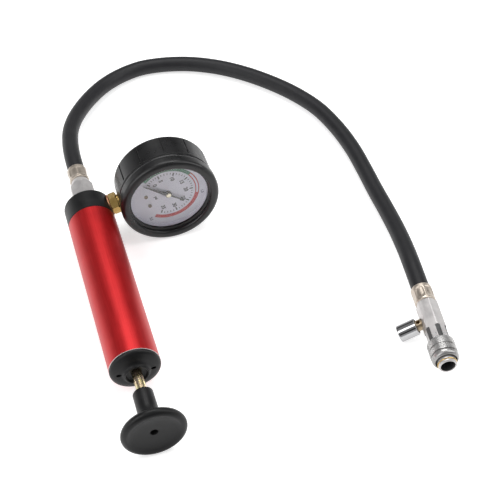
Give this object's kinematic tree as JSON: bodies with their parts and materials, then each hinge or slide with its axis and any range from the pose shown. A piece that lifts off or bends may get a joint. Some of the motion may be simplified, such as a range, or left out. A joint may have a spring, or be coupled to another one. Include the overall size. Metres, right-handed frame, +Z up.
{
  "type": "radiator pressure tester",
  "caption": "Hand pump with a booted pressure gauge, a rubber hose and a quick coupler, for testing a cooling system for leaks",
  "frame": {"origin": "the middle, on the table, of the box round the pump with its gauge, without the hose and what hangs on it", "axes": "+Z up from the table, +Y along the barrel from the knob to the hose, +X from the barrel to the gauge, whose dial faces -Y"},
  "size_m": [0.2502, 0.4049, 0.074],
  "materials": {
    "red_barrel": "red anodised, satin, with fine drawn lines",
    "black_plastic": "black moulded plastic, satin",
    "grey_plastic": "grey moulded plastic",
    "black_rubber": "matte black rubber",
    "hose_rubber": "matte black rubber with a smooth cover",
    "nickel": "nickel-plated brass, satin",
    "ferrule_nickel": "warm nickel plate, satin, crimped",
    "brass": "turned brass",
    "steel": "bright steel",
    "zinc_steel": "yellow zinc-plated steel",
    "chrome": "polished chrome plate",
    "case_steel": "black enamelled steel",
    "aluminium": "turned aluminium",
    "dial_face": "printed white enamel",
    "lens_clear": "clear",
    "needle_black": "black enamel",
    "copper": "soft copper"
  },
  "bodies": {
    "pump": {"barrel": "red_barrel", "bottom_cap": "black_plastic", "rod_guide": "grey_plastic", "end_buffer": "black_rubber", "head_cap": "black_plastic", "head_o_ring": "black_rubber", "valve_seat": "brass", "valve_spring": "steel", "outlet_fitting": "nickel", "pump_ferrule": "ferrule_nickel", "gauge_stem": "brass", "stem_washer": "copper", "gauge_case": "case_steel", "gauge_boot": "black_rubber", "lens": "lens_clear", "lens_gasket": "black_rubber", "dial": "dial_face", "dial_screws": "brass", "movement_frame": "brass", "bourdon_tube": "brass", "tube_tip": "brass", "case_screws": "steel", "hose": "hose_rubber", "coupler_ferrule": "ferrule_nickel", "coupler_body": "nickel", "sleeve_spring": "steel", "sleeve_ring": "brass", "lock_balls": "steel", "socket_o_ring": "black_rubber", "vent_post": "brass", "vent_spring": "steel"},
    "plunger": {"rod": "zinc_steel", "knob": "black_plastic", "knob_screw": "steel", "piston": "aluminium", "cup_seal": "black_rubber", "cup_washer": "aluminium", "piston_nut": "steel"},
    "outlet_ball": {"valve_ball": "steel"},
    "needle": {"needle": "needle_black", "needle_hub": "brass", "pinion_arbor": "brass"},
    "sector": {"sector_gear": "brass"},
    "link": {"tip_link": "steel"},
    "sleeve": {"coupler_sleeve": "nickel"},
    "vent_button": {"vent_cap": "chrome", "vent_plunger": "brass", "vent_seal": "black_rubber"}
  },
  "joints": [
    {"name": "plunger_slide", "type": "slide", "parent": "pump", "child": "plunger", "axis": [0, -1, 0], "range_m": [-0.014, 0.0875]},
    {"name": "valve_lift", "type": "slide", "parent": "pump", "child": "outlet_ball", "axis": [0, 1, 0], "range_m": [0, 0.001], "stiffness_N_per_m": 80, "springref_m": -0.001, "deforming": ["valve_spring"]},
    {"name": "needle_turn", "type": "hinge", "parent": "pump", "child": "needle", "pos_m": [0.02144, 0.08025, 0.037], "axis": [0, 1, 0], "range_deg": [0, 270], "stiffness_Nm_per_rad": 0.0002, "springref_deg": -11.46},
    {"name": "sector_turn", "type": "hinge", "parent": "pump", "child": "sector", "pos_m": [0.01833, 0.08025, 0.0487], "axis": [0, 1, 0], "range_deg": [-60, 0]},
    {"name": "link_turn", "type": "hinge", "parent": "sector", "child": "link", "pos_m": [0.02277, 0.08025, 0.04749], "axis": [0, 1, 0], "range_deg": [0, 60]},
    {"name": "sleeve_pull", "type": "slide", "parent": "pump", "child": "sleeve", "axis": [0.1426, 0.9898, 0], "range_m": [0, 0.0045], "stiffness_N_per_m": 1500, "springref_m": -0.003, "deforming": ["sleeve_spring"]},
    {"name": "vent_press", "type": "slide", "parent": "pump", "child": "vent_button", "axis": [0.8739, -0.1259, 0.4695], "range_m": [0, 0.0025], "stiffness_N_per_m": 900, "springref_m": -0.002, "deforming": ["vent_spring"]}
  ],
  "couplings": [
    {"joint": "sector_turn", "follows": "needle_turn", "ratio": -0.22222},
    {"joint": "link_turn", "follows": "needle_turn", "ratio": 0.22222}
  ]
}
